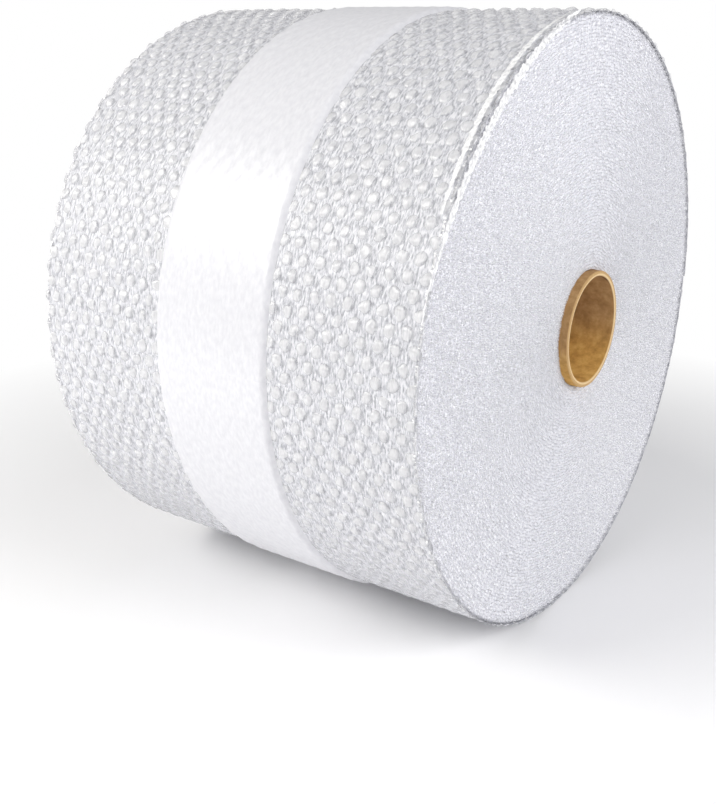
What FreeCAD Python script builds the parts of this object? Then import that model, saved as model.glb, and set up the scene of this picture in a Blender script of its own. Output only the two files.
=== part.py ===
"""A wide roll of clear bubble wrap on a cardboard core, held by a white band round its middle.

The roll lies on its side. X runs along its axis, the end that faces the viewer is at +X, the
viewer stands on the -Y side, and Z is up from the ground that the roll rests on. Millimetres.

The wrap is one web wound on the core, so its outline and the edges on its end faces are spirals.
Each turn is drawn as two half circles: the lower half has its centre a little to one side of the
upper half's, so the two join into one line that moves inwards with every turn.
"""
import FreeCAD, Part
import math
import os
import re

import Sketcher
from FreeCAD import Placement, Rotation, Vector

SIZES = {
    # The roll as it lies.
    "roll_width": 500,       # along the axis, the width of the web
    "roll_diameter": 702,    # over the free end of the web
    "flat_depth": 7,         # how far the roll's own weight presses its underside flat
    "web_thickness": 3.7,    # one turn, so the outline steps down by this at the free end

    # Bubbles, seen as rounded rows that run along the roll.
    "row_pitch": 16.9,       # from row to row round the roll
    "row_height": 3.6,       # from the valley between two rows to their tops
    "row_top": 5,            # width of the rounded top of a row

    # Edges of the turns on the end faces, gathered into one spiral ridge.
    "turn_pitch": 35,
    "turn_depth": 4,
    "turn_skim": 0.3,        # the ridge's top, in from the plain face round the core
    "turn_margin": 6,        # plain face left at the rim, and between the core and the ridge

    # Cardboard core.
    "core_bore": 124,
    "core_wall": 6,
    "core_proud": 8,         # past the wrap at each end
    "core_offset": 20,       # the wrap has settled, so the core lies behind the middle
    "core_chamfer": 1,

    # White band, drawn tight over the tops of the rows.
    "band_width": 150,
    "band_thickness": 1,
    "band_margin": 2,        # how far the place pressed in under the band passes its edges
    "lap_length": 60,        # where the band's end is stuck down on the band itself
    "lap_angle": 40,         # of the lap's lower edge, above the axis on the far side
    "fit_clearance": 0.05,   # round the core and under the band
}

# Sizes that follow from the ones above, worked out in the sheet as well.
DERIVED = {
    "rim_radius": "=roll_diameter / 2",
    "upper_radius": "=rim_radius - web_thickness / 4",
    "lower_radius": "=rim_radius - 3 * web_thickness / 4",
    "axis_level": "=rim_radius - flat_depth",
    "core_radius": "=core_bore / 2 + core_wall",
    "band_growth": "=fit_clearance + band_thickness",
    "row_flank": "=(row_pitch - row_top) / 2",
    "rows_per_half": "=round(pi * upper_radius / row_pitch)",
}

doc = FreeCAD.newDocument("bubble_wrap_roll")
sheet = doc.addObject("Spreadsheet::Sheet", "Sizes")
for row, (name, content) in enumerate([*SIZES.items(), *DERIVED.items()], start=1):
    sheet.set(f"A{row}", name)
    sheet.set(f"B{row}", str(content))
    sheet.setAlias(f"B{row}", name)
doc.recompute()

Z_AXIS = Vector(0, 0, 1)
START, END, CENTRE = 1, 2, 3     # the points of a line or an arc in a sketch
ORIGIN = (-1, 1)                 # a sketch's own origin
ACROSS = -1                      # a sketch's own horizontal axis


def value(formula):
    """What a formula comes to. A name in square brackets is a size in the sheet."""
    return float(sheet.evalExpression(re.sub(r"\[(\w+)\]", r"\1", formula)))


def bind(item, prop, formula):
    item.setExpression(prop, re.sub(r"\[(\w+)\]", r"Sizes.\1", formula))


def new_body(label, sideways="0"):
    """A body whose own X axis is the roll's axis, moved sideways by a formula."""
    body = doc.addObject("PartDesign::Body", label)
    body.Label = label
    bind(body, "Placement.Base.y", f"{sideways} - [web_thickness] / 4")
    bind(body, "Placement.Base.z", "[axis_level]")
    return body


def new_sketch(body, name, role="YZ_Plane"):
    """A sketch on one of its body's planes: YZ looks along the roll, XY runs along it."""
    sketch = body.newObject("Sketcher::SketchObject", name)
    plane = next(item for item in body.Origin.OriginFeatures if item.Role == role)
    sketch.AttachmentSupport = [(plane, "")]
    sketch.MapMode = "FlatFace"
    return sketch


def measure(sketch, kind, *places, formula):
    """A dimension in a sketch, tied to the sheet."""
    index = sketch.addConstraint(Sketcher.Constraint(kind, *places, value(formula)))
    bind(sketch, f"Constraints[{index}]", formula)


def join(sketch, *ends):
    """Make the first two ends meet, then the next two, and so on."""
    for first, second in zip(ends[::2], ends[1::2]):
        sketch.addConstraint(Sketcher.Constraint("Coincident", *first, *second))


def add_line(sketch, first, second):
    return sketch.addGeometry(Part.LineSegment(Vector(*first, 0), Vector(*second, 0)), False)


def add_arc(sketch, centre, radius, start, end):
    """An arc anticlockwise from one angle to another, in degrees."""
    circle = Part.Circle(Vector(*centre, 0), Z_AXIS, radius)
    bounds = math.radians(start), math.radians(end)
    return sketch.addGeometry(Part.ArcOfCircle(circle, *bounds), False)


def add_circle(sketch, radius):
    circle = sketch.addGeometry(Part.Circle(Vector(), Z_AXIS, value(radius)), False)
    join(sketch, (circle, CENTRE), ORIGIN)
    measure(sketch, "Radius", circle, formula=radius)


def add_polygon(sketch, corners):
    """A closed outline of straight lines. Each corner is two formulas, along and up."""
    points = [(value(along), value(up)) for along, up in corners]
    sides = [add_line(sketch, point, after) for point, after in zip(points, points[1:] + points[:1])]
    for side, before, (along, up) in zip(sides, sides[-1:] + sides[:-1], corners):
        join(sketch, (before, END), (side, START))
        measure(sketch, "DistanceX", *ORIGIN, side, START, formula=along)
        measure(sketch, "DistanceY", *ORIGIN, side, START, formula=up)


def add_box(sketch, left, right, low, high):
    add_polygon(sketch, [(left, low), (right, low), (right, high), (left, high)])


def add_wound_outline(sketch, growth, level, bridged=False):
    """The outline of the wound web, made larger by one formula and cut off level at another.

    The upper half turn has its centre a quarter of the web's thickness to the far side, and the
    lower one as much to the near side. They meet on the near side, and on the far side the web's
    free end makes a step between them. What is drawn tight over the step bridges it, in a straight
    line that runs out into the lower half turn.
    """
    shift, depth = value("[web_thickness] / 4"), value(level)
    upper_reach, lower_reach = value(f"[upper_radius] + {growth}"), value(f"[lower_radius] + {growth}")
    angle = math.degrees(math.acos(-depth / lower_reach))
    half = lower_reach * math.sin(math.radians(angle))
    leave = math.acos(lower_reach / (upper_reach + 2 * shift)) if bridged else 0
    foot = lower_reach * math.cos(leave) - shift, -lower_reach * math.sin(leave)
    upper = add_arc(sketch, (shift, 0), upper_reach, 0, 180)
    near = add_arc(sketch, (-shift, 0), lower_reach, 180, 270 - angle)
    flat = add_line(sketch, (-shift - half, depth), (-shift + half, depth))
    far = add_arc(sketch, (-shift, 0), lower_reach, 270 + angle, 360 - math.degrees(leave))
    step = add_line(sketch, foot, (upper_reach + shift, 0))
    join(sketch, (upper, END), (near, START), (near, END), (flat, START), (flat, END), (far, START),
         (step, END), (upper, START), (near, CENTRE), (far, CENTRE))
    for place in ((upper, START), (upper, CENTRE), (upper, END), (near, CENTRE)):
        sketch.addConstraint(Sketcher.Constraint("PointOnObject", *place, ACROSS))
    sketch.addConstraint(Sketcher.Constraint("Horizontal", flat))
    sketch.addConstraint(Sketcher.Constraint("Equal", near, far))
    if bridged:
        sketch.addConstraint(Sketcher.Constraint("Tangent", far, END, step, START))
    else:
        join(sketch, (far, END), (step, START))
        sketch.addConstraint(Sketcher.Constraint("Horizontal", step))
    measure(sketch, "DistanceX", *ORIGIN, upper, CENTRE, formula="[web_thickness] / 4")
    measure(sketch, "DistanceX", near, CENTRE, *ORIGIN, formula="[web_thickness] / 4")
    measure(sketch, "DistanceY", *ORIGIN, flat, START, formula=level)
    measure(sketch, "Radius", upper, formula=f"[upper_radius] + {growth}")


def add_feature(kind, name, sketch, **settings):
    """A feature of the sketch's own body. Settings are formulas if they are text in brackets."""
    body = sketch.getParentGeoFeatureGroup()
    feature = body.newObject(f"PartDesign::{kind}", name)
    feature.Profile = sketch
    for prop, setting in settings.items():
        if isinstance(setting, str) and "[" in setting:
            bind(feature, prop, setting)
        else:
            setattr(feature, prop, setting)
    doc.recompute()
    return feature


# The core: a wound paper tube whose ends stand proud of the wrap.
core = new_body("cardboard_core", "[core_offset]")
core_section = new_sketch(core, "core_section")
add_circle(core_section, "[core_radius]")
add_circle(core_section, "[core_bore] / 2")
core_tube = add_feature("Pad", "core_tube", core_section, SideType="Symmetric",
                        Length="[roll_width] + 2 * [core_proud]")
core_ends = core.newObject("PartDesign::Chamfer", "core_ends")
core_ends.Base = (core_tube, [f"Edge{number}" for number, edge in enumerate(core_tube.Shape.Edges, 1)
                              if isinstance(edge.Curve, Part.Circle)])
bind(core_ends, "Size", "[core_chamfer]")

# The wrap: first the outline of the wound web, with the step at its free end on the far side.
wrap = new_body("bubble_wrap")
wound_outline = new_sketch(wrap, "wound_outline")
add_wound_outline(wound_outline, "0", "-[axis_level]")
add_feature("Pad", "wound_web", wound_outline, SideType="Symmetric", Length="[roll_width]")

# Valleys between the rows of bubbles. Each half turn has its own centre and its own share of the
# rows, so the rows keep their height all the way round.
for half, side, start in (("upper", "", 0), ("lower", "-", 180)):
    valley = new_sketch(wrap, f"{half}_valley")
    valley.AttachmentOffset = Placement(Vector(1, 0, 0), Rotation(Z_AXIS, start + 1))
    bind(valley, "AttachmentOffset.Base.x", f"{side}[web_thickness] / 4")
    bind(valley, "AttachmentOffset.Rotation.Angle", f"{start} + 90 / [rows_per_half]")
    top, outside = f"[{half}_radius]", f"[{half}_radius] + [row_height]"
    add_polygon(valley, [(f"{top} - [row_height]", "0"), (top, "-[row_flank]"), (outside, "-[row_flank]"),
                         (outside, "[row_flank]"), (top, "[row_flank]")])
    cut = add_feature("Pocket", f"{half}_valley_cut", valley, SideType="Symmetric", Type="ThroughAll")
    row_pattern = wrap.newObject("PartDesign::PolarPattern", f"{half}_rows")
    row_pattern.Originals = [cut]
    row_pattern.Axis = (valley, ["N_Axis"])
    bind(row_pattern, "Angle", "180 - 180 / [rows_per_half]")
    bind(row_pattern, "Occurrences", "[rows_per_half]")
    wrap.Tip = row_pattern
    doc.recompute()

# The end face: a spiral ridge, its two halves cut by turning the same teeth round two centres.
turns = int(value("([rim_radius] - [core_radius] - [core_offset] - 2 * [turn_margin]) / [turn_pitch]"))
ridge_top, ridge_foot = "[roll_width] / 2 - [turn_skim]", "[roll_width] / 2 - [turn_depth]"
air = "[roll_width] / 2 + [turn_depth]"
turn_cuts = []
for half, side, inwards in (("upper", "", 0), ("lower", "-", 0.5)):
    teeth = new_sketch(wrap, f"{half}_teeth", "XY_Plane")
    bind(teeth, "AttachmentOffset.Base.y", f"{side}[turn_pitch] / 4")
    corners = []
    for step in range(2 * turns + 1):
        level = f"[rim_radius] - [turn_margin] - {0.25 + inwards + step / 2} * [turn_pitch]"
        corners.append((ridge_foot if step % 2 else ridge_top, level))
    add_polygon(teeth, corners + [(air, corners[-1][1]), (air, corners[0][1])])
    turn_cuts.append(add_feature("Groove", f"{half}_turns", teeth, Angle=180,
                                 ReferenceAxis=(teeth, ["H_Axis"]), Reversed=half == "lower"))
far_end = wrap.newObject("PartDesign::Mirrored", "far_end")
far_end.Originals = turn_cuts
far_end.MirrorPlane = (next(item for item in wrap.Origin.OriginFeatures if item.Role == "YZ_Plane"), [""])
wrap.Tip = far_end
doc.recompute()

# The place pressed in under the band where the roll rests on it, and the hole round the core.
pressed = new_sketch(wrap, "pressed_place")
add_box(pressed, "-[rim_radius]", "[rim_radius]", "-[rim_radius]", "-[axis_level] + [band_growth]")
add_feature("Pocket", "pressed_in", pressed, SideType="Symmetric", Length="[band_width] + 2 * [band_margin]")
core_hole = new_sketch(wrap, "core_hole")
bind(core_hole, "AttachmentOffset.Base.x", "[core_offset]")
add_circle(core_hole, "[core_radius] + [fit_clearance]")
add_feature("Pocket", "core_hole_cut", core_hole, SideType="Symmetric", Type="ThroughAll")

# The band: one thin sleeve that follows the wrap's outline, its end lapped over on the far side.
band = new_body("paper_band")
sleeve = new_sketch(band, "sleeve")
add_wound_outline(sleeve, "[band_growth]", "-[axis_level]", bridged=True)
add_wound_outline(sleeve, "[fit_clearance]", "-[axis_level] + [band_thickness]", bridged=True)
add_feature("Pad", "band_sleeve", sleeve, SideType="Symmetric", Length="[band_width]")
lap = new_sketch(band, "lap", "XY_Plane")
lap.AttachmentOffset = Placement(Vector(0, 1, 0), Rotation(Vector(1, 0, 0), 1))
bind(lap, "AttachmentOffset.Base.y", "[web_thickness] / 4")
bind(lap, "AttachmentOffset.Rotation.Angle", "[lap_angle]")
lap_foot = "[upper_radius] + [fit_clearance]"
add_box(lap, "-[band_width] / 2", "[band_width] / 2", f"{lap_foot} + [band_thickness] / 2",
        f"{lap_foot} + 2 * [band_thickness]")
add_feature("Revolution", "band_lap", lap, ReferenceAxis=(lap, ["H_Axis"]),
            Angle="180 / pi * [lap_length] / [upper_radius]")

doc.recompute()
for item in doc.Objects:
    if {"Invalid", "Error"} & set(item.State):
        raise RuntimeError(f"{item.Name} did not rebuild: {item.State}")
os.makedirs("parts", exist_ok=True)
for body in (core, wrap, band):
    if body.Shape.isNull() or not body.Shape.isValid() or len(body.Shape.Solids) != 1:
        raise RuntimeError(f"{body.Label} is not one sound solid")
    body.Shape.exportStep(f"parts/{body.Label}.step")
    box = body.Shape.BoundBox
    print(f"{body.Label}: {box.XLength:.1f} x {box.YLength:.1f} x {box.ZLength:.1f} mm, "
          f"{body.Shape.Volume / 1000:.0f} cm3")
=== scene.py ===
"""A wide roll of clear bubble wrap on a cardboard core, held by a white band round its middle.

Metres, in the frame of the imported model: X runs along the roll towards the end that faces the
viewer, -Y is towards the viewer, and Z is up from the floor.
"""
import math

import bmesh
import bpy
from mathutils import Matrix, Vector


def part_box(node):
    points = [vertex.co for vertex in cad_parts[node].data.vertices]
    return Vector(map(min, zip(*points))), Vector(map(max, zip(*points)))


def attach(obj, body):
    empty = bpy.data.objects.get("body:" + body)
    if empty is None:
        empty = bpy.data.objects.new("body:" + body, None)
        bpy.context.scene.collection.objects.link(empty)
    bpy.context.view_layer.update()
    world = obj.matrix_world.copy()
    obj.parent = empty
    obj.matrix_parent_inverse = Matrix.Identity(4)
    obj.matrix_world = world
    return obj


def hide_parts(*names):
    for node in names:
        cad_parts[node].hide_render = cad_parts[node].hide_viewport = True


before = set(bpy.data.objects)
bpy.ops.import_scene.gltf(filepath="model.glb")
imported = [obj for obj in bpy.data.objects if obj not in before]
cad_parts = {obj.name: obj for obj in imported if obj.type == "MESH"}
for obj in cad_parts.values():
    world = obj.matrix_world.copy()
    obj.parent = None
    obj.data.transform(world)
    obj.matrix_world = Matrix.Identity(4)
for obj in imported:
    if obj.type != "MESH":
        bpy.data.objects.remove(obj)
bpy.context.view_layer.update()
scene = bpy.context.scene


# Cardboard core: a tube of brown core board, wound from narrow plies in a spiral and glued. Its
# cut ends stand proud of the wrap, and the paper shows paler there. The joint of the inner ply
# runs round the bore as one dark line, which shows near the mouth.
MM = 0.001
core_low, core_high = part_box("cardboard_core")
CORE_Y, CORE_Z = (core_low[1] + core_high[1]) / 2, (core_low[2] + core_high[2]) / 2
CORE_END = core_high[0]
CORE_RADIUS = (core_high[2] - core_low[2]) / 2
CORE_WALL = 6 * MM
CORE_EDGE = 1.2 * MM
CORE_SIDES = 144
PLY_WIDTH = 100 * MM
PLY_THICKNESS = 0.9 * MM
JOINT_TURN = 0.72
STREAK_SIZE = 100 / 9 * MM
FIBRE_SIZE = 10 / 7 * MM


def sheet_colour(hex_code):
    """A colour as it is written for screens, turned to the linear values that a shader takes."""
    parts = [int(hex_code[i:i + 2], 16) / 255 for i in (1, 3, 5)]
    return [p / 12.92 if p <= 0.04045 else ((p + 0.055) / 1.055) ** 2.4 for p in parts] + [1]


def add_node(tree, kind, links=None, **settings):
    """Adds a node. Settings name its properties, or its inputs by name or number (as i0, i1).

    links gives, for an input's name or number, the output that feeds it.
    """
    node = tree.nodes.new(kind)
    inputs = {}
    for key, setting in settings.items():
        if key.startswith("i") and key[1:].isdigit():
            inputs[int(key[1:])] = setting
        elif hasattr(node, key):
            setattr(node, key, setting)
        else:
            inputs[key.replace("_", " ")] = setting
    for key, setting in inputs.items():
        node.inputs[key].default_value = setting
    for key, output in (links or {}).items():
        tree.links.new(output, node.inputs[key])
    return node


def calculate(tree, operation, first, second=None):
    """One step of arithmetic between numbers or outputs."""
    node = add_node(tree, "ShaderNodeMath", operation=operation)
    for index, term in enumerate((first, second)):
        if isinstance(term, (int, float)):
            node.inputs[index].default_value = term
        elif term is not None:
            tree.links.new(term, node.inputs[index])
    return node.outputs[0]


def new_material(name, **settings):
    """A material with its Principled shader set, ready for more nodes."""
    material = bpy.data.materials.new(name)
    material.use_nodes = True
    shader = material.node_tree.nodes["Principled BSDF"]
    for key, setting in settings.items():
        shader.inputs[key.replace("_", " ")].default_value = setting
    return material, material.node_tree, shader


def colour_steps(tree, factor, *steps):
    """Colours placed along a factor: pairs of a place from 0 to 1 and a colour code."""
    ramp = add_node(tree, "ShaderNodeValToRGB", {"Fac": factor})
    while len(ramp.color_ramp.elements) < len(steps):
        ramp.color_ramp.elements.new(1)
    for element, (place, code) in zip(ramp.color_ramp.elements, steps):
        element.position, element.color = place, sheet_colour(code)
    return ramp.outputs["Color"]


def new_piece(name, mesh, material, node):
    """Puts a mesh in the scene as a finished piece that stands for a solid."""
    piece = bpy.data.objects.new(name, mesh)
    scene.collection.objects.link(piece)
    mesh.materials.clear()
    mesh.materials.append(material)
    mesh.shade_smooth()
    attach(piece, "root")
    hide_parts(node)


def round_places(x, centre_y, centre_z, radii):
    """Places on a ring round an axis along X, with a radius for each of its equal turns."""
    turns = [math.tau * i / len(radii) for i in range(len(radii))]
    return [(x, centre_y + radius * math.cos(turn), centre_z + radius * math.sin(turn))
            for turn, radius in zip(turns, radii)]


def tube_mesh(name, profile, sides, centre_y, centre_z):
    """A closed profile of (x, radius) points turned round an axis along X."""
    mesh = bmesh.new()
    rings = [[mesh.verts.new(place) for place in round_places(x, centre_y, centre_z, [radius] * sides)]
             for x, radius in profile]
    for ring, after in zip(rings, rings[1:] + rings[:1]):
        for i in range(sides):
            j = (i + 1) % sides
            mesh.faces.new((ring[i], ring[j], after[j], after[i]))
    bmesh.ops.recalc_face_normals(mesh, faces=mesh.faces)
    data = bpy.data.meshes.new(name)
    mesh.to_mesh(data)
    mesh.free()
    return data


# Kraft core board: dull brown paper with fibres and glue stains in faint streaks, and a dark joint. It is
# painted yellower and lighter low in the bore, as painted light that falls in through the mouth. The cut
# ends show the plies as fine rings, palest next to the bore.
core_board, tree, board = new_material("kraft_core_board", Roughness=0.85)
centred = add_node(tree, "ShaderNodeMapping", {"Vector": add_node(
    tree, "ShaderNodeTexCoord").outputs["Object"]}, Location=(0, -CORE_Y, -CORE_Z)).outputs[0]
along_core, behind_core, above_core = add_node(tree, "ShaderNodeSeparateXYZ", {0: centred}).outputs
turns_round = calculate(tree, "DIVIDE", calculate(tree, "ARCTAN2", above_core, behind_core), math.tau)
plies_along = calculate(tree, "DIVIDE", along_core, PLY_WIDTH)
ply_place = calculate(tree, "FRACT", calculate(
    tree, "SUBTRACT", calculate(tree, "ADD", plies_along, turns_round), JOINT_TURN))
streaks = add_node(tree, "ShaderNodeTexNoise", {"Vector": centred}, Scale=1 / STREAK_SIZE, Detail=5,
                   Roughness=0.65).outputs["Fac"]
# Painted light: the lower part of the bore gets the yellower, lighter paper, as if lit through the mouth.
lit_low_in_bore = add_node(tree, "ShaderNodeMapRange", {"Value": above_core}, interpolation_type="SMOOTHSTEP",
                       From_Min=0.1 * CORE_RADIUS, From_Max=-0.7 * CORE_RADIUS)
paper = add_node(tree, "ShaderNodeMix", {
    "Factor": lit_low_in_bore.outputs[0],
    6: colour_steps(tree, streaks, (0.3, "#8f6a40"), (0.5, "#a78052"), (0.72, "#bd9868")),
    7: colour_steps(tree, streaks, (0.3, "#a97c3c"), (0.5, "#c99a50"), (0.72, "#dfb468"))},
    data_type="RGBA")
joint_tone = colour_steps(tree, ply_place, (0.0, "#6a4a2a"), (0.009, "#7d5c36"), (0.016, "#ffffff"),
                          (0.97, "#ffffff"), (1.0, "#c8b08c"))
with_joint = add_node(tree, "ShaderNodeMix", {6: paper.outputs[2], 7: joint_tone}, data_type="RGBA",
                      blend_type="MULTIPLY", Factor=1)
out_from_axis = add_node(tree, "ShaderNodeVectorMath", {0: add_node(
    tree, "ShaderNodeCombineXYZ", {"Y": behind_core, "Z": above_core}).outputs[0]},
    operation="LENGTH").outputs["Value"]
ply_wave = calculate(tree, "SINE", calculate(tree, "MULTIPLY", out_from_axis, math.tau / PLY_THICKNESS))
across_wall = add_node(tree, "ShaderNodeMapRange", {"Value": out_from_axis},
                       From_Min=CORE_RADIUS - 0.65 * CORE_WALL, From_Max=CORE_RADIUS - 0.5 * CORE_WALL)
cut_paper = add_node(tree, "ShaderNodeMix", {
    "Factor": across_wall.outputs[0],
    6: colour_steps(tree, ply_wave, (0.0, "#d6b684"), (1.0, "#ecd6ac")),
    7: colour_steps(tree, ply_wave, (0.0, "#a98350"), (1.0, "#d8b988"))}, data_type="RGBA")
at_end = add_node(tree, "ShaderNodeMapRange", {"Value": calculate(tree, "ABSOLUTE", along_core)},
                  From_Min=CORE_END - CORE_EDGE, From_Max=CORE_END - 0.2 * CORE_EDGE)
board_colour = add_node(tree, "ShaderNodeMix", {
    "Factor": at_end.outputs[0], 6: with_joint.outputs[2], 7: cut_paper.outputs[2]}, data_type="RGBA")
tree.links.new(board_colour.outputs[2], board.inputs["Base Color"])
fibres = add_node(tree, "ShaderNodeTexNoise", {"Vector": centred}, Scale=1 / FIBRE_SIZE, Detail=3)
paper_bump = add_node(tree, "ShaderNodeBump", {"Height": fibres.outputs["Fac"]}, Strength=0.35,
                      Distance=0.4 * MM)
tree.links.new(paper_bump.outputs[0], board.inputs["Normal"])

bore, bevel = CORE_RADIUS - CORE_WALL, 0.35 * CORE_EDGE
half_profile = [(CORE_END - CORE_EDGE, CORE_RADIUS), (CORE_END - bevel, CORE_RADIUS - bevel),
                (CORE_END, CORE_RADIUS - CORE_EDGE), (CORE_END, bore + CORE_EDGE),
                (CORE_END - bevel, bore + bevel), (CORE_END - CORE_EDGE, bore)]
core_profile = half_profile + [(-x, radius) for x, radius in reversed(half_profile)]
new_piece("core_tube", tube_mesh("core_tube", core_profile, CORE_SIDES, CORE_Y, CORE_Z), core_board,
          "cardboard_core")


# Wound web: low-density polyethylene film, two soft clear layers with air sealed between them. The
# outer turn carries round bubbles in staggered rows. It is laid out flat here, X across the web
# and Y along it from the free end, and then rolled up round the axis, a little closer every turn.
wrap_low, wrap_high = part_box("bubble_wrap")
WEB_THICKNESS = 3.7 * MM
RIM = (wrap_high[1] - wrap_low[1] + WEB_THICKNESS / 2) / 2
AXIS_Y = -WEB_THICKNESS / 4
AXIS_Z = wrap_high[2] - RIM + WEB_THICKNESS / 4
ROLL_END = wrap_high[0]
END_CLEARANCE = 0.2 * MM
FLOOR_CLEARANCE = 0.1 * MM
LOOSE_TURN, LOOSE_SPREAD = math.radians(52), math.radians(26)
LOOSE_FROM = 90 * MM
SHOULDER_WIDTH = 32 * MM


def new_tree(name, **sizes):
    """A Geometry Nodes tree with a mesh going in and out, and one number input for each size."""
    group = bpy.data.node_groups.new(name, "GeometryNodeTree")
    group.interface.new_socket("Geometry", in_out="INPUT", socket_type="NodeSocketGeometry")
    for label, size in sizes.items():
        socket = group.interface.new_socket(label.replace("_", " "), in_out="INPUT",
                                            socket_type="NodeSocketFloat")
        socket.default_value = size
    group.interface.new_socket("Geometry", in_out="OUTPUT", socket_type="NodeSocketGeometry")
    start, finish = group.nodes.new("NodeGroupInput"), group.nodes.new("NodeGroupOutput")
    return group, start.outputs, finish.inputs


def own_place(group):
    """The X, Y and Z of each point."""
    place = add_node(group, "GeometryNodeInputPosition").outputs[0]
    return add_node(group, "ShaderNodeSeparateXYZ", {0: place}).outputs


# The outer turn stands off a little near the end that faces the viewer, above the far side, and
# the web is drawn in a little towards both of its edges.
roll_up, flat_web, wound_web = new_tree(
    "roll_up", Rim_Radius=RIM, Web_Thickness=WEB_THICKNESS, Axis_Y=AXIS_Y, Axis_Z=AXIS_Z,
    Loose_Height=1.5 * MM, Shoulder=0.5 * MM)
across, onwards, height = own_place(roll_up)
swept = calculate(roll_up, "DIVIDE", onwards, flat_web["Rim Radius"])
closing = calculate(roll_up, "DIVIDE", calculate(
    roll_up, "MULTIPLY", swept, flat_web["Web Thickness"]), math.tau)
off_loose = calculate(roll_up, "DIVIDE", calculate(roll_up, "SUBTRACT", swept, LOOSE_TURN), LOOSE_SPREAD)
loose_round = calculate(roll_up, "POWER", math.e, calculate(
    roll_up, "MULTIPLY", calculate(roll_up, "MULTIPLY", off_loose, off_loose), -1))
loose_along = add_node(roll_up, "ShaderNodeMapRange", {"Value": across}, interpolation_type="SMOOTHSTEP",
                       From_Min=LOOSE_FROM, From_Max=ROLL_END)
standing_off = calculate(roll_up, "MULTIPLY", calculate(
    roll_up, "MULTIPLY", loose_round, loose_along.outputs[0]), flat_web["Loose Height"])
shoulder = add_node(roll_up, "ShaderNodeMapRange", {"Value": calculate(roll_up, "ABSOLUTE", across)},
                    interpolation_type="SMOOTHSTEP", From_Min=ROLL_END - SHOULDER_WIDTH, From_Max=ROLL_END)
drawn_in = calculate(roll_up, "MULTIPLY", shoulder.outputs[0], flat_web["Shoulder"])
reach = calculate(roll_up, "ADD", calculate(roll_up, "SUBTRACT", calculate(
    roll_up, "ADD", flat_web["Rim Radius"], height), closing), calculate(
        roll_up, "SUBTRACT", standing_off, drawn_in))
level = calculate(roll_up, "ADD", flat_web["Axis Z"], calculate(
    roll_up, "MULTIPLY", reach, calculate(roll_up, "SINE", swept)))
depth = calculate(roll_up, "ADD", flat_web["Axis Y"], calculate(
    roll_up, "MULTIPLY", reach, calculate(roll_up, "COSINE", swept)))
inside_end = calculate(roll_up, "MAXIMUM", calculate(
    roll_up, "MINIMUM", across, ROLL_END - END_CLEARANCE), END_CLEARANCE - ROLL_END)
rolled = add_node(roll_up, "ShaderNodeCombineXYZ", {
    "X": inside_end, "Y": depth, "Z": calculate(roll_up, "MAXIMUM", level, FLOOR_CLEARANCE)})
curled = add_node(roll_up, "GeometryNodeSetPosition", {"Geometry": flat_web["Geometry"],
                                                       "Position": rolled.outputs[0]})
outward = add_node(roll_up, "GeometryNodeFlipFaces", {0: curled.outputs[0]})
roll_up.links.new(outward.outputs[0], wound_web[0])


def end_tree(group, geometry, finish, material):
    """Gives what a tree has made its material, and ends the tree."""
    filmed = add_node(group, "GeometryNodeSetMaterial", {"Geometry": geometry}, Material=material)
    group.links.new(filmed.outputs[0], finish[0])


def end_rolled(group, flat_shape, finish, material):
    """Rolls up what a tree has laid out flat, and ends the tree."""
    wound = add_node(group, "GeometryNodeGroup", node_tree=roll_up)
    group.links.new(flat_shape, wound.inputs["Geometry"])
    end_tree(group, wound.outputs[0], finish, material)


def made_mesh(name, group, **sizes):
    """Runs a tree on an empty mesh and returns the plain mesh that it makes."""
    carrier = bpy.data.objects.new(name, bpy.data.meshes.new(name))
    scene.collection.objects.link(carrier)
    modifier = carrier.modifiers.new(name, "NODES")
    modifier.node_group = group
    for item in group.interface.items_tree:
        label = item.name.replace(" ", "_")
        if item.in_out == "INPUT" and label in sizes:
            modifier[item.identifier] = sizes[label]
    evaluated = carrier.evaluated_get(bpy.context.evaluated_depsgraph_get())
    mesh = bpy.data.meshes.new_from_object(evaluated)
    bpy.data.objects.remove(carrier)
    mesh.name = name
    return mesh


def creased(tree, across, round_the_roll, outwards=None, **settings):
    """Noise on the wound web. Its lumps have a size along the axis, one round the roll and one out."""
    x, y, z = add_node(tree, "ShaderNodeSeparateXYZ", {0: add_node(
        tree, "ShaderNodeMapping", {"Vector": add_node(tree, "ShaderNodeTexCoord").outputs["Object"]},
        Location=(0, -AXIS_Y, -AXIS_Z)).outputs[0]}).outputs
    arc = calculate(tree, "MULTIPLY", calculate(tree, "ARCTAN2", z, y), RIM)
    out = calculate(tree, "SQRT", calculate(tree, "ADD", calculate(tree, "MULTIPLY", y, y),
                                            calculate(tree, "MULTIPLY", z, z)))
    lumps = add_node(tree, "ShaderNodeCombineXYZ", {
        "X": calculate(tree, "MULTIPLY", x, 1 / across),
        "Y": calculate(tree, "MULTIPLY", arc, 1 / round_the_roll),
        "Z": calculate(tree, "MULTIPLY", out, 1 / outwards if outwards else 0)})
    return add_node(tree, "ShaderNodeTexNoise", {"Vector": lumps.outputs[0]}, Scale=1,
                    **settings).outputs["Fac"]


def add_relief(tree, shader, height, strength, depth, strength_from=None):
    """Lets a pattern stand out from a surface by a depth."""
    links = {"Height": height}
    if strength_from:
        links["Strength"] = strength_from
    bump = add_node(tree, "ShaderNodeBump", links, Strength=strength, Distance=depth)
    tree.links.new(bump.outputs[0], shader.inputs["Normal"])
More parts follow.
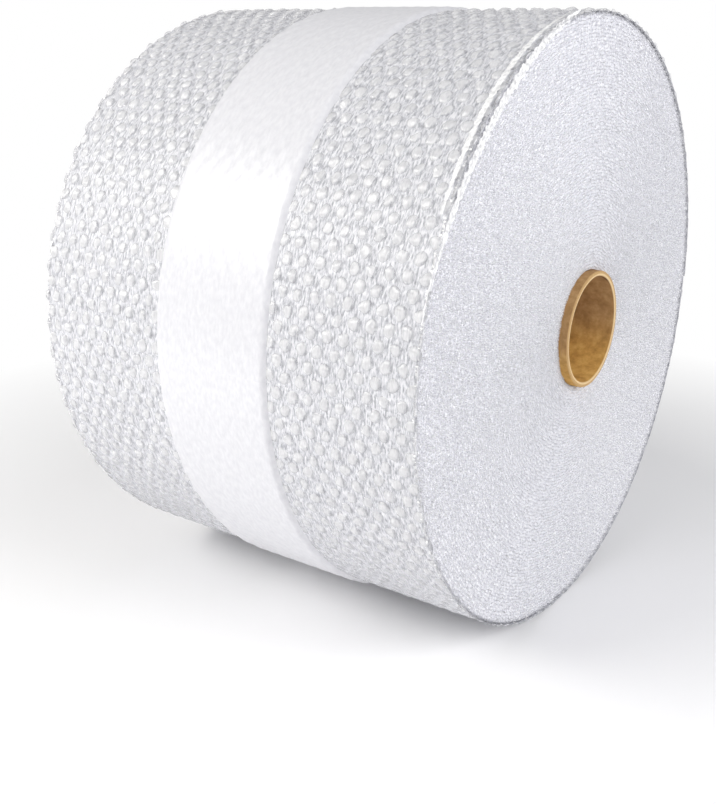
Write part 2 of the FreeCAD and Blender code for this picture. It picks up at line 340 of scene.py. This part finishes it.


# Clear film: thin and glossy, with fine creases that run round the roll and catch the light. The grey
# and white steps of the creases are painted shade and painted glints. The air keeps the top of a bubble
# smooth, and it is painted white there as a highlight; its sides crease like the film between them.
# Its index is set high, because four film surfaces reflect together.
FILM_CREASE = (5 / 3 * MM, 50 / 7 * MM)
clear_film, tree, film = new_material("clear_polyethylene_film", Roughness=0.17, IOR=2.0)
creases = creased(tree, *FILM_CREASE, Detail=4, Roughness=0.62)
up_the_bubble = add_node(tree, "ShaderNodeAttribute", attribute_name="up_the_bubble").outputs["Fac"]
smooth_highlit_top = add_node(tree, "ShaderNodeMapRange", {"Value": up_the_bubble},
                      interpolation_type="SMOOTHSTEP", From_Min=0.2, From_Max=0.95, To_Max=0.65)
# Painted shade and glints: dark steps in the creases and white on their folds; the bubble tops are painted
# white as a highlight.
film_shade_and_highlights = add_node(tree, "ShaderNodeMix", {
    "Factor": smooth_highlit_top.outputs[0],
    6: colour_steps(tree, creases, (0.34, "#b4b5bb"), (0.46, "#e2e2e6"), (0.57, "#fcfcfe"))},
    data_type="RGBA", i7=(0.93, 0.93, 0.94, 1))
tree.links.new(film_shade_and_highlights.outputs[2], film.inputs["Base Color"])
film_cover = add_node(tree, "ShaderNodeMapRange", {"Value": up_the_bubble}, From_Max=0.6, To_Min=0.25,
                      To_Max=0.64)
tree.links.new(film_cover.outputs[0], film.inputs["Alpha"])
crease_strength = add_node(tree, "ShaderNodeMapRange", {"Value": smooth_highlit_top.outputs[0]}, To_Min=1.0,
                           To_Max=0.45)
add_relief(tree, film, creases, 1.0, 1.4 * MM, crease_strength.outputs[0])

BUBBLE_PITCH = 19.5 * MM
BUBBLE_RADIUS = 8 * MM
BUBBLE_HEIGHT = 4 * MM
ROWS = 130
ROW_PITCH = math.tau * RIM / ROWS
COLUMNS = 2 * math.ceil(ROLL_END / BUBBLE_PITCH) + 1
DENT_SIZE = 100 / 11 * MM
BAND_HALF = 75 * MM
BESIDE_BAND = 8 * MM
HELD_BY_BAND, HELD_BY_FLOOR = 0.15, 0.35
UNDERSIDE = math.radians(270)
PRESSED_WITHIN, FULL_BEYOND = math.radians(42), math.radians(74)
bubbles, laid, made = new_tree("bubble_rows", Pitch=BUBBLE_PITCH, Row_Pitch=ROW_PITCH,
                               Radius=BUBBLE_RADIUS, Height=BUBBLE_HEIGHT, Plumpness=0.85,
                               Crumple=5 * MM, From_X=BAND_HALF, To_X=ROLL_END)
lattice = add_node(bubbles, "GeometryNodeMeshGrid", {
    "Size X": calculate(bubbles, "MULTIPLY", laid["Pitch"], COLUMNS - 1),
    "Size Y": calculate(bubbles, "MULTIPLY", laid["Row Pitch"], ROWS - 1)},
    Vertices_X=COLUMNS, Vertices_Y=ROWS)
number = add_node(bubbles, "GeometryNodeInputIndex").outputs[0]
odd_row = calculate(bubbles, "MODULO", calculate(bubbles, "MODULO", number, ROWS), 2)
stagger = add_node(bubbles, "ShaderNodeCombineXYZ", {
    "X": calculate(bubbles, "MULTIPLY", calculate(bubbles, "MULTIPLY", odd_row, laid["Pitch"]), 0.5),
    "Y": calculate(bubbles, "MULTIPLY", laid["Row Pitch"], ROWS / 2)})
staggered = add_node(bubbles, "GeometryNodeSetPosition", {"Geometry": lattice.outputs["Mesh"],
                                                          "Offset": stagger.outputs[0]})
middle_x = own_place(bubbles)[0]
outside = calculate(bubbles, "ADD", calculate(bubbles, "LESS_THAN", middle_x, laid["From X"]),
                    calculate(bubbles, "GREATER_THAN", middle_x, laid["To X"]))
zone = add_node(bubbles, "GeometryNodeDeleteGeometry", {
    "Geometry": staggered.outputs[0], "Selection": outside}, domain="POINT")

# One bubble: a plump dome that remembers how far up it each place is, less towards its sides, which
# shapes the painted highlight on its top.
ball = add_node(bubbles, "GeometryNodeMeshUVSphere", Segments=12, Rings=8, Radius=1)
ball_x, ball_y, ball_height = own_place(bubbles)
below = calculate(bubbles, "LESS_THAN", ball_height, -0.01)
dome = add_node(bubbles, "GeometryNodeDeleteGeometry", {"Geometry": ball.outputs["Mesh"],
                                                        "Selection": below}, domain="POINT")
plump_height = calculate(bubbles, "POWER", calculate(bubbles, "MAXIMUM", ball_height, 0),
                         laid["Plumpness"])
plump = add_node(bubbles, "GeometryNodeSetPosition", {"Geometry": dome.outputs[0], "Position": add_node(
    bubbles, "ShaderNodeCombineXYZ", {"X": ball_x, "Y": ball_y, "Z": plump_height}).outputs[0]})
narrowing_for_highlight = calculate(bubbles, "MULTIPLY", calculate(bubbles, "MULTIPLY", ball_x, ball_x), 0.9)
marked = add_node(bubbles, "GeometryNodeStoreNamedAttribute", {
    "Geometry": plump.outputs[0], "Value": calculate(bubbles, "SUBTRACT", ball_height, narrowing_for_highlight)},
    domain="POINT", data_type="FLOAT", Name="up_the_bubble")
dome_size = add_node(bubbles, "ShaderNodeCombineXYZ", {"X": laid["Radius"], "Y": laid["Radius"],
                                                       "Z": laid["Height"]})
sized_dome = add_node(bubbles, "GeometryNodeTransform", {"Geometry": marked.outputs[0],
                                                         "Scale": dome_size.outputs[0]})

# No two bubbles are quite alike: each is filled, tilted and placed a little differently.
fill = add_node(bubbles, "FunctionNodeRandomValue", data_type="FLOAT", i2=0.72, i3=1.0, Seed=3)
tilt = add_node(bubbles, "FunctionNodeRandomValue", data_type="FLOAT_VECTOR", i0=(-0.1, -0.1, 0),
                i1=(0.1, 0.1, 0.5), Seed=7)
girth = add_node(bubbles, "FunctionNodeRandomValue", data_type="FLOAT", i2=0.88, i3=1.03, Seed=12)
shape = add_node(bubbles, "ShaderNodeCombineXYZ", {"X": girth.outputs[1], "Y": girth.outputs[1],
                                                   "Z": fill.outputs[1]})
shift = add_node(bubbles, "FunctionNodeRandomValue", data_type="FLOAT_VECTOR",
                 i0=(-0.7 * MM, -0.7 * MM, 0), i1=(0.7 * MM, 0.7 * MM, 0), Seed=15)
uneven_rows = add_node(bubbles, "GeometryNodeSetPosition", {"Geometry": zone.outputs[0],
                                                            "Offset": shift.outputs[0]})
placed = add_node(bubbles, "GeometryNodeInstanceOnPoints", {
    "Points": uneven_rows.outputs[0], "Instance": sized_dome.outputs[0], "Rotation": tilt.outputs[0],
    "Scale": shape.outputs[0]})
down = add_node(bubbles, "ShaderNodeCombineXYZ", {"Z": calculate(bubbles, "MULTIPLY", laid["Height"], -1)})
sunk = add_node(bubbles, "GeometryNodeTranslateInstances", {
    "Instances": placed.outputs[0], "Translation": down.outputs[0]}, Local_Space=False)
real = add_node(bubbles, "GeometryNodeRealizeInstances", {0: sunk.outputs[0]})
dents = add_node(bubbles, "ShaderNodeTexNoise", {"Vector": add_node(
    bubbles, "GeometryNodeInputPosition").outputs[0]}, Scale=1 / DENT_SIZE, Detail=1)
dent_way = add_node(bubbles, "ShaderNodeVectorMath", {0: dents.outputs["Color"]}, operation="SUBTRACT",
                    i1=(0.5, 0.5, 0.75))
dent = add_node(bubbles, "ShaderNodeVectorMath", {0: dent_way.outputs[0], "Scale": laid["Crumple"]},
                operation="SCALE")
crumpled = add_node(bubbles, "GeometryNodeSetPosition", {"Geometry": real.outputs[0],
                                                         "Offset": dent.outputs[0]})

# The band holds the bubbles down beside it, and the floor those under the roll.
free_x, free_y, free_height = own_place(bubbles)
by_band = add_node(bubbles, "ShaderNodeMapRange", {"Value": calculate(bubbles, "ABSOLUTE", free_x)},
                   interpolation_type="SMOOTHSTEP", From_Min=BAND_HALF,
                   From_Max=BAND_HALF + BESIDE_BAND, To_Min=HELD_BY_BAND)
from_underside = calculate(bubbles, "ABSOLUTE", calculate(
    bubbles, "SUBTRACT", calculate(bubbles, "DIVIDE", free_y, RIM), UNDERSIDE))
by_floor = add_node(bubbles, "ShaderNodeMapRange", {"Value": from_underside},
                    interpolation_type="SMOOTHSTEP", From_Min=PRESSED_WITHIN, From_Max=FULL_BEYOND,
                    To_Min=HELD_BY_FLOOR)
held = calculate(bubbles, "MULTIPLY", by_band.outputs[0], by_floor.outputs[0])
held_height = calculate(bubbles, "SUBTRACT", calculate(bubbles, "MULTIPLY", calculate(
    bubbles, "ADD", free_height, laid["Height"]), held), laid["Height"])
# Painted highlight: the white on the bubble tops is faded out low down under the roll, where the light is
# soft.
highlight_top = add_node(bubbles, "GeometryNodeInputNamedAttribute", data_type="FLOAT", Name="up_the_bubble")
highlight_left = calculate(bubbles, "MULTIPLY", highlight_top.outputs[0], by_floor.outputs[0])
highlight_faded = add_node(bubbles, "GeometryNodeStoreNamedAttribute", {
    "Geometry": crumpled.outputs[0], "Value": highlight_left}, domain="POINT", data_type="FLOAT",
    Name="up_the_bubble")
held_place = add_node(bubbles, "ShaderNodeCombineXYZ", {"X": free_x, "Y": free_y, "Z": held_height})
held_down = add_node(bubbles, "GeometryNodeSetPosition", {"Geometry": highlight_faded.outputs[0],
                                                          "Position": held_place.outputs[0]})
end_rolled(bubbles, held_down.outputs[0], made, clear_film)

EDGE_OVERLAP = 10 * MM
for name, first, last in (("near_bubbles", BAND_HALF - EDGE_OVERLAP, ROLL_END + EDGE_OVERLAP),
                          ("far_bubbles", -ROLL_END - EDGE_OVERLAP, EDGE_OVERLAP - BAND_HALF)):
    new_piece(name, made_mesh(name, bubbles, From_X=first, To_X=last), clear_film,
              "bubble_wrap")

# Layers of film: the turns below show through the clear outer one as a milky, creased ground. Its grey
# steps and darker creases are painted shade between the bubbles.
LAYER_CREASE = (2 * MM, 100 / 13 * MM)
milky_film_and_shade, tree, milk = new_material("many_layers_of_film", Roughness=0.4)
layers = creased(tree, *LAYER_CREASE, Detail=4, Roughness=0.65)
# Painted shade: the ground between the bubbles is grey, darkest in its creases.
tree.links.new(colour_steps(tree, layers, (0.36, "#9b9ca3"), (0.48, "#cacbd1"), (0.6, "#eeeef2")),
               milk.inputs["Base Color"])
add_relief(tree, milk, layers, 0.7, 1.5 * MM)

ground, laid, made = new_tree("web_ground", Width=2 * ROLL_END, Length=math.tau * RIM,
                              Depth=BUBBLE_HEIGHT)
sheet = add_node(ground, "GeometryNodeMeshGrid", {"Size X": laid["Width"], "Size Y": laid["Length"]},
                 Vertices_X=61, Vertices_Y=4 * ROWS)
sheet_shift = add_node(ground, "ShaderNodeCombineXYZ", {
    "Y": calculate(ground, "DIVIDE", laid["Length"], 2),
    "Z": calculate(ground, "MULTIPLY", laid["Depth"], -1)})
shifted = add_node(ground, "GeometryNodeSetPosition", {"Geometry": sheet.outputs["Mesh"],
                                                       "Offset": sheet_shift.outputs[0]})
end_rolled(ground, shifted.outputs[0], made, milky_film_and_shade)
new_piece("web_ground", made_mesh("web_ground", ground), milky_film_and_shade, "bubble_wrap")


# Loose edges: near the end that faces the viewer the outermost turns are loose. The cut edge of
# the last one shows as a bright line at the rim, and that of a turn under it, on the end face.
FLUTTER_SIZE, NICK_SIZE = 200 / 11 * MM, 100 / 13 * MM

# Folded film: clear film that is seen along its cut edge looks white, with small gaps in it.
EDGE_FOLD = (10 / 3 * MM, 5 * MM, 10 / 3 * MM)
bright_edge, tree, bright = new_material("folded_film_edge", Base_Color=sheet_colour("#ffffff"),
                                         Roughness=0.2)
edge_cover = add_node(tree, "ShaderNodeMapRange", {"Value": creased(tree, *EDGE_FOLD, Detail=3)},
                      From_Min=0.35, From_Max=0.6, To_Min=0.5, To_Max=0.95)
tree.links.new(edge_cover.outputs[0], bright.inputs["Alpha"])

loose, laid, made = new_tree("loose_edge", From=0, Length=0.3, Place=ROLL_END, Along_Width=4 * MM,
                             Inward_Width=0, Sag=0, Flutter=6 * MM, Seed=1)
ribbon = add_node(loose, "GeometryNodeMeshGrid", {"Size Y": laid["Length"]}, Size_X=1.0, Vertices_X=5,
                  Vertices_Y=400)
over_ribbon, down_ribbon, _ = own_place(loose)
part_way = calculate(loose, "ADD", calculate(loose, "DIVIDE", down_ribbon, laid["Length"]), 0.5)
flutter_place = add_node(loose, "ShaderNodeCombineXYZ", {"X": down_ribbon, "Y": laid["Seed"]})
flutter = add_node(loose, "ShaderNodeTexNoise", {"Vector": flutter_place.outputs[0]},
                   Scale=1 / FLUTTER_SIZE, Detail=5)
fluttered = calculate(loose, "MULTIPLY", calculate(loose, "SUBTRACT", flutter.outputs["Fac"], 0.5),
                      laid["Flutter"])
bowed = calculate(loose, "SINE", calculate(loose, "MULTIPLY", part_way, math.pi))
nick_place = add_node(loose, "ShaderNodeCombineXYZ", {"X": down_ribbon}, Y=5.0)
nicks = add_node(loose, "ShaderNodeTexNoise", {"Vector": nick_place.outputs[0]}, Scale=1 / NICK_SIZE,
                 Detail=3)
raggedness = add_node(loose, "ShaderNodeMapRange", {"Value": nicks.outputs["Fac"]}, From_Min=0.35,
                      From_Max=0.65, To_Min=0.6, To_Max=1.4)
tapered = calculate(loose, "MULTIPLY", over_ribbon, calculate(
    loose, "MULTIPLY", calculate(loose, "POWER", bowed, 0.5), raggedness.outputs[0]))
edge_x = calculate(loose, "ADD", laid["Place"], calculate(
    loose, "ADD", calculate(loose, "MULTIPLY", tapered, laid["Along Width"]), fluttered))
edge_y = calculate(loose, "ADD", laid["From"], calculate(loose, "MULTIPLY", part_way, laid["Length"]))
sagging = calculate(loose, "SUBTRACT", fluttered, calculate(loose, "MULTIPLY", bowed, laid["Sag"]))
edge_z = calculate(loose, "ADD", calculate(loose, "MULTIPLY", tapered, laid["Inward Width"]), sagging)
edge_line = add_node(loose, "ShaderNodeCombineXYZ", {"X": edge_x, "Y": edge_y, "Z": edge_z})
edge_placed = add_node(loose, "GeometryNodeSetPosition", {"Geometry": ribbon.outputs["Mesh"],
                                                          "Position": edge_line.outputs[0]})
end_rolled(loose, edge_placed.outputs[0], made, bright_edge)

# Each edge runs from one angle to another, counted from the back of the roll over its top.
for name, first, last, place, along_width, inward_width, sag in (
        ("slipped_edge", math.radians(101), math.radians(150), ROLL_END - 6 * MM, 7 * MM, 1 * MM, 0),
        ("rim_edge", math.radians(98), math.radians(166), ROLL_END - 1 * MM, 0.5 * MM, 11 * MM, 14 * MM)):
    edge = made_mesh(name, loose, From=first * RIM, Length=(last - first) * RIM, Place=place,
                     Along_Width=along_width, Inward_Width=inward_width, Sag=sag)
    new_piece(name, edge, bright_edge, "bubble_wrap")


# End faces: the cut edges of all the turns, one spiral from the core to the rim. Each turn has the
# edge of the flat film and the wavy edge of the film that holds the bubbles. The core lies off
# the middle, so the turns lie closer on the far side.
TURNS = 76
FACE_INNER = CORE_RADIUS + 0.5 * MM
FACE_OUTER = RIM - BUBBLE_HEIGHT
STRIP_DEPTH = 2.5 * MM

# Cut film: the edges are white where the film folds over and clear between, with sharp glints; their
# brightest white flecks are painted sparkle.
CUT_FOLD = (50 / 3 * MM, 100 / 33 * MM, 100 / 33 * MM)
cut_film, tree, cut = new_material("cut_film_edges", Roughness=0.18, IOR=1.8)
cut_folds_and_sparkle = creased(tree, *CUT_FOLD, Detail=3, Roughness=0.7)
# Partly painted sparkle: the brightest steps are pure white flecks on the white film.
tree.links.new(colour_steps(tree, cut_folds_and_sparkle, (0.4, "#e2e3e8"), (0.52, "#f2f2f6"), (0.6, "#ffffff")),
               cut.inputs["Base Color"])
cut_cover = add_node(tree, "ShaderNodeMapRange", {"Value": cut_folds_and_sparkle}, From_Min=0.47, From_Max=0.6,
                     To_Min=0.12, To_Max=0.95)
tree.links.new(cut_cover.outputs[0], cut.inputs["Alpha"])
add_relief(tree, cut, cut_folds_and_sparkle, 0.8, 1.2 * MM)

# Packed film: the layers behind the cut edges are a pale grey, with small folds everywhere and white
# spots on them that are painted glints.
PACKED_FOLD = (50 / 3 * MM, 10 / 3 * MM, 10 / 3 * MM)
packed_film, tree, packed = new_material("packed_layers_of_film", Roughness=0.35)
folds_and_glints = creased(tree, *PACKED_FOLD, Detail=4, Roughness=0.65)
# Painted glints: the white steps make small bright spots across the face.
tree.links.new(colour_steps(tree, folds_and_glints, (0.36, "#c2c2ca"), (0.5, "#dcdce3"), (0.62, "#fafafd")),
               packed.inputs["Base Color"])
add_relief(tree, packed, folds_and_glints, 0.6, 1.2 * MM)

edges, laid, made = new_tree("turn_edges", Steps=33000, Turns=TURNS, Inner=FACE_INNER, Outer=FACE_OUTER,
                             Core_Offset=CORE_Y - AXIS_Y, Strip=STRIP_DEPTH, Wave=1.5 * MM,
                             Crumple=3 * MM, Ragged=2.5 * MM, Side=1, Seed=1)
strip = add_node(edges, "GeometryNodeMeshGrid", {"Size X": laid["Strip"], "Vertices Y": laid["Steps"]},
                 Size_Y=1.0, Vertices_X=2)
over_strip, down_strip, _ = own_place(edges)
deep = calculate(edges, "ADD", over_strip, calculate(edges, "DIVIDE", laid["Strip"], 2))
travelled_part = calculate(edges, "ADD", down_strip, 0.5)
inner_square = calculate(edges, "MULTIPLY", laid["Inner"], laid["Inner"])
outer_square = calculate(edges, "MULTIPLY", laid["Outer"], laid["Outer"])
turn_radius = calculate(edges, "SQRT", calculate(edges, "ADD", inner_square, calculate(
    edges, "MULTIPLY", travelled_part, calculate(edges, "SUBTRACT", outer_square, inner_square))))
wound_part = calculate(edges, "DIVIDE", calculate(edges, "SUBTRACT", turn_radius, laid["Inner"]),
                       calculate(edges, "SUBTRACT", laid["Outer"], laid["Inner"]))
swept = calculate(edges, "MULTIPLY", calculate(edges, "MULTIPLY", wound_part, laid["Turns"]), -math.tau)
web_length = calculate(edges, "MULTIPLY", calculate(edges, "ADD", laid["Inner"], laid["Outer"]),
                       calculate(edges, "MULTIPLY", laid["Turns"], math.pi))
travelled = calculate(edges, "MULTIPLY", travelled_part, web_length)


def wander(lump_size, seed):
    """Noise along the web, from about -0.5 to 0.5."""
    along_web = add_node(edges, "ShaderNodeCombineXYZ", {"X": travelled, "Y": laid["Seed"]}, Z=seed)
    noise = add_node(edges, "ShaderNodeTexNoise", {"Vector": along_web.outputs[0]},
                     Scale=1 / lump_size, Detail=2)
    return calculate(edges, "SUBTRACT", noise.outputs["Fac"], 0.5)


CRUMPLE_SIZE, LONG_SLIP, SHORT_SLIP = 100 / 9 * MM, 500 / 11 * MM, 100 / 11 * MM
wave = calculate(edges, "MULTIPLY", calculate(edges, "SINE", calculate(
    edges, "MULTIPLY", travelled, math.tau / ROW_PITCH)), laid["Wave"])
uneven = calculate(edges, "MULTIPLY", wander(CRUMPLE_SIZE, 1.5), laid["Crumple"])
reach = calculate(edges, "ADD", turn_radius, calculate(edges, "ADD", wave, uneven))
off_core = calculate(edges, "MULTIPLY", calculate(edges, "SUBTRACT", 1, wound_part), laid["Core Offset"])
slip = calculate(edges, "MULTIPLY", calculate(edges, "ADD", wander(LONG_SLIP, 4.5), wander(
    SHORT_SLIP, 7.5)), 0.7)
set_in = calculate(edges, "MULTIPLY", calculate(edges, "ADD", slip, 0.45), laid["Ragged"])
face_x = calculate(edges, "SUBTRACT", ROLL_END, calculate(edges, "ADD", set_in, deep))
face_y = calculate(edges, "ADD", calculate(edges, "MULTIPLY", reach, calculate(edges, "COSINE", swept)),
                   calculate(edges, "ADD", off_core, AXIS_Y))
face_z = calculate(edges, "ADD", calculate(edges, "MULTIPLY", reach, calculate(edges, "SINE", swept)),
                   AXIS_Z)
stood = add_node(edges, "ShaderNodeCombineXYZ", {
    "X": calculate(edges, "MULTIPLY", face_x, laid["Side"]), "Y": face_y,
    "Z": calculate(edges, "MAXIMUM", face_z, FLOOR_CLEARANCE)})
in_place = add_node(edges, "GeometryNodeSetPosition", {"Geometry": strip.outputs["Mesh"],
                                                       "Position": stood.outputs[0]})
end_tree(edges, in_place.outputs[0], made, cut_film)

# Between the edges the face falls back into the roll, and the turn under the loose one goes on in.
FACE_RINGS, FACE_SIDES = 40, 240
GROUND_DEPTH, STEP_DEPTH, LOOSE_DEPTH = 1.3 * STRIP_DEPTH, 2.6 * STRIP_DEPTH, 70 * MM
FACE_CLEARANCE = 0.2 * MM


def face_mesh(name, side):
    """The ground behind the film edges: rings whose centres move from the core's to the roll's."""
    mesh = bmesh.new()
    steps = [(GROUND_DEPTH, i / FACE_RINGS) for i in range(FACE_RINGS + 1)]
    steps += [(depth, 1 - 1 / FACE_RINGS) for depth in (STEP_DEPTH, LOOSE_DEPTH)]
    rings = []
    for depth, part in steps:
        radius = FACE_INNER + (FACE_OUTER - FACE_INNER) * part
        radii = [radius - WEB_THICKNESS * part * i / FACE_SIDES for i in range(FACE_SIDES)]
        places = round_places(side * (ROLL_END - depth), CORE_Y + (AXIS_Y - CORE_Y) * part, AXIS_Z, radii)
        rings.append([mesh.verts.new((x, y, max(z, FACE_CLEARANCE))) for x, y, z in places])
    for ring, after in zip(rings, rings[1:]):
        for i in range(FACE_SIDES):
            j = (i + 1) % FACE_SIDES
            corners = (ring[i], after[i], after[j], ring[j])
            mesh.faces.new(corners if side > 0 else corners[::-1])
    data = bpy.data.meshes.new(name)
    mesh.to_mesh(data)
    mesh.free()
    return data


for name, side in (("near", 1), ("far", -1)):
    new_piece(f"{name}_face", face_mesh(f"{name}_face", side), packed_film, "bubble_wrap")
    for kind, wave_height, crumpling, steps, seed in (("flat", 0.2 * MM, 6 * MM, 20000, 1),
                                                      ("bubble", 1.0 * MM, 9 * MM, 33000, 2)):
        frill = made_mesh(f"{name}_{kind}_edge", edges, Side=side, Wave=wave_height, Crumple=crumpling,
                          Steps=steps, Seed=seed + 2 * side)
        new_piece(f"{name}_{kind}_edge", frill, cut_film, "bubble_wrap")


# White band: a strip of smooth white film, drawn tight round the middle so that the bubbles under
# it show as a faint pattern. It bridges the free end of the web, and its own end is lapped over.
BRIDGE_LENGTH = 52 * MM
HEM_OUTER, HEM_INNER, HEM_DROP = -1 * MM, 6 * MM, -4.4 * MM
LAP_FROM, LAP_LENGTH, LAP_HEIGHT = math.radians(40) * RIM, 60 * MM, 1.3 * MM

# Stretch film: satin white, with broad soft gleams and faint creases round the roll.
BAND_CREASE = (50 / 13 * MM, 25 / 3 * MM)
white_film, tree, skin = new_material("white_stretch_film", Roughness=0.32)
creases = creased(tree, *BAND_CREASE, Detail=3)
tree.links.new(colour_steps(tree, creases, (0.35, "#d9d9de"), (0.65, "#e2e2e6")),
               skin.inputs["Base Color"])
add_relief(tree, skin, creases, 0.25, 0.5 * MM)

sleeve, laid, made = new_tree("band_sleeve", Width=2 * BAND_HALF, From=0, Length=math.tau * RIM,
                              Height=0.6 * MM, Dent=0.8 * MM, Bridge=WEB_THICKNESS, Rows=721)
sheet = add_node(sleeve, "GeometryNodeMeshGrid", {
    "Size X": laid["Width"], "Size Y": laid["Length"], "Vertices Y": laid["Rows"]}, Vertices_X=61)
over_sheet, down_sheet, _ = own_place(sleeve)
along_band = calculate(sleeve, "ADD", down_sheet, calculate(
    sleeve, "ADD", calculate(sleeve, "DIVIDE", laid["Length"], 2), laid["From"]))
bridging = add_node(sleeve, "ShaderNodeMapRange", {"Value": along_band}, interpolation_type="SMOOTHSTEP",
                    From_Min=math.tau * RIM - BRIDGE_LENGTH, From_Max=math.tau * RIM)
to_edge = calculate(sleeve, "SUBTRACT", BAND_HALF, calculate(sleeve, "ABSOLUTE", over_sheet))
hem = add_node(sleeve, "ShaderNodeMapRange", {"Value": to_edge}, interpolation_type="SMOOTHSTEP",
               From_Min=HEM_OUTER, From_Max=HEM_INNER, To_Min=HEM_DROP, To_Max=0)
row_phase = calculate(sleeve, "MULTIPLY", along_band, math.tau / ROW_PITCH / 2)
column_phase = calculate(sleeve, "MULTIPLY", over_sheet, math.tau / BUBBLE_PITCH)
pressed = calculate(sleeve, "MULTIPLY", calculate(
    sleeve, "MULTIPLY", calculate(sleeve, "COSINE", row_phase), calculate(
        sleeve, "COSINE", column_phase)), 0.5)
raised = calculate(sleeve, "ADD", laid["Height"], calculate(
    sleeve, "MULTIPLY", calculate(sleeve, "SUBTRACT", pressed, 0.5), laid["Dent"]))
over_step = calculate(sleeve, "MULTIPLY", bridging.outputs[0], laid["Bridge"])
drawn = add_node(sleeve, "ShaderNodeCombineXYZ", {"X": over_sheet, "Y": along_band, "Z": calculate(
    sleeve, "ADD", calculate(sleeve, "ADD", raised, hem.outputs[0]), over_step)})
tight = add_node(sleeve, "GeometryNodeSetPosition", {"Geometry": sheet.outputs["Mesh"],
                                                     "Position": drawn.outputs[0]})
end_rolled(sleeve, tight.outputs[0], made, white_film)
new_piece("band_sleeve", made_mesh("band_sleeve", sleeve), white_film, "paper_band")
new_piece("band_lap", made_mesh("band_lap", sleeve, From=LAP_FROM, Length=LAP_LENGTH, Height=LAP_HEIGHT,
                                Rows=25), white_film, "paper_band")


# Stage: a plain pale floor that runs out to white, soft studio light, and the camera at the
# photograph's viewing angle.
FLOOR_REACH, FLOOR_LEVEL = 6, -0.4 * MM
FADE_FROM, FADE_TO = 0.55, 1.1
floor_mesh = bpy.data.meshes.new("floor")
floor_mesh.from_pydata([(x * FLOOR_REACH, y * FLOOR_REACH, FLOOR_LEVEL)
                        for x, y in ((-1, -1), (1, -1), (1, 1), (-1, 1))], [], [(0, 1, 2, 3)])
floor = bpy.data.objects.new("floor", floor_mesh)
scene.collection.objects.link(floor)
pale_floor, tree, paint = new_material("pale_floor", Base_Color=sheet_colour("#fbfbfc"), Roughness=0.9)
white = add_node(tree, "ShaderNodeEmission", Color=(1, 1, 1, 1), Strength=1.0)
out_from = add_node(tree, "ShaderNodeVectorMath", {0: add_node(
    tree, "ShaderNodeTexCoord").outputs["Object"]}, operation="LENGTH")
fade = add_node(tree, "ShaderNodeMapRange", {"Value": out_from.outputs["Value"]}, From_Min=FADE_FROM,
                From_Max=FADE_TO)
seen = add_node(tree, "ShaderNodeLightPath")
fade_seen = calculate(tree, "MULTIPLY", fade.outputs[0], seen.outputs["Is Camera Ray"])
floor_mix = add_node(tree, "ShaderNodeMixShader", {0: fade_seen, 1: paint.outputs[0],
                                                   2: white.outputs[0]})
tree.links.new(floor_mix.outputs[0], tree.nodes["Material Output"].inputs["Surface"])
floor_mesh.materials.append(pale_floor)

# The room is brighter low down than overhead, and the camera sees it as plain white.
world = bpy.data.worlds.new("studio")
scene.world = world
world.use_nodes = True
tree = world.node_tree
room = tree.nodes["Background"]
room.inputs["Color"].default_value = (0.985, 0.985, 1.0, 1)
upwards = add_node(tree, "ShaderNodeSeparateXYZ", {0: add_node(
    tree, "ShaderNodeTexCoord").outputs["Generated"]}).outputs[2]
overhead = add_node(tree, "ShaderNodeMapRange", {"Value": upwards}, To_Min=0.69, To_Max=0.35)
tree.links.new(overhead.outputs[0], room.inputs["Strength"])
backdrop = add_node(tree, "ShaderNodeBackground", Color=(1, 1, 1, 1), Strength=1.0)
seen = add_node(tree, "ShaderNodeLightPath")
world_mix = add_node(tree, "ShaderNodeMixShader", {0: seen.outputs["Is Camera Ray"],
                                                   1: room.outputs[0], 2: backdrop.outputs[0]})
tree.links.new(world_mix.outputs[0], tree.nodes["World Output"].inputs["Surface"])


def add_lamp(name, place, aim, width, height, power, tint=(1, 1, 1)):
    """A soft rectangular lamp that points at a place on the object."""
    light = bpy.data.lights.new(name, "AREA")
    light.color = tint
    light.shape, light.size, light.size_y, light.energy = "RECTANGLE", width, height, power
    lamp = bpy.data.objects.new(name, light)
    scene.collection.objects.link(lamp)
    lamp.location = place
    lamp.rotation_euler = (Vector(aim) - Vector(place)).to_track_quat("-Z", "Y").to_euler()


middle = (0, AXIS_Y, AXIS_Z)
add_lamp("front_softbox", (-1.1, -1.8, 1.65), middle, 1.6, 1.0, 37, tint=(1, 0.985, 0.94))
add_lamp("end_softbox", (2.2, -0.1, 1.4), middle, 1.2, 1.2, 29)
add_lamp("floor_card", (-0.35, -0.85, 0.03), (-0.2, 0, 0.15), 1.3, 0.35, 1.1)

# The photograph's frame is 716 by 804, and the lens is worked out from the taller side.
FRAME_HEIGHT, SENSOR_WIDTH = 804, 36
FOCAL_PIXELS = 1082.6
AZIMUTH, ELEVATION = math.radians(35.43), math.radians(19.68)
DISTANCE, SIDE_STEP, UP_STEP = 1.3735, -0.0488, -0.1284
towards = Vector((math.sin(AZIMUTH) * math.cos(ELEVATION), -math.cos(AZIMUTH) * math.cos(ELEVATION),
                  math.sin(ELEVATION)))
right = (-towards).cross(Vector((0, 0, 1))).normalized()
up = right.cross(-towards)
lens = bpy.data.cameras.new("camera")
lens.sensor_width = SENSOR_WIDTH
lens.lens = FOCAL_PIXELS / FRAME_HEIGHT * SENSOR_WIDTH
camera = bpy.data.objects.new("camera", lens)
scene.collection.objects.link(camera)
camera.location = Vector(middle) + towards * DISTANCE + right * SIDE_STEP + up * UP_STEP
camera.rotation_euler = (-towards).to_track_quat("-Z", "Y").to_euler()
scene.camera = camera
scene.view_settings.view_transform = "Standard"
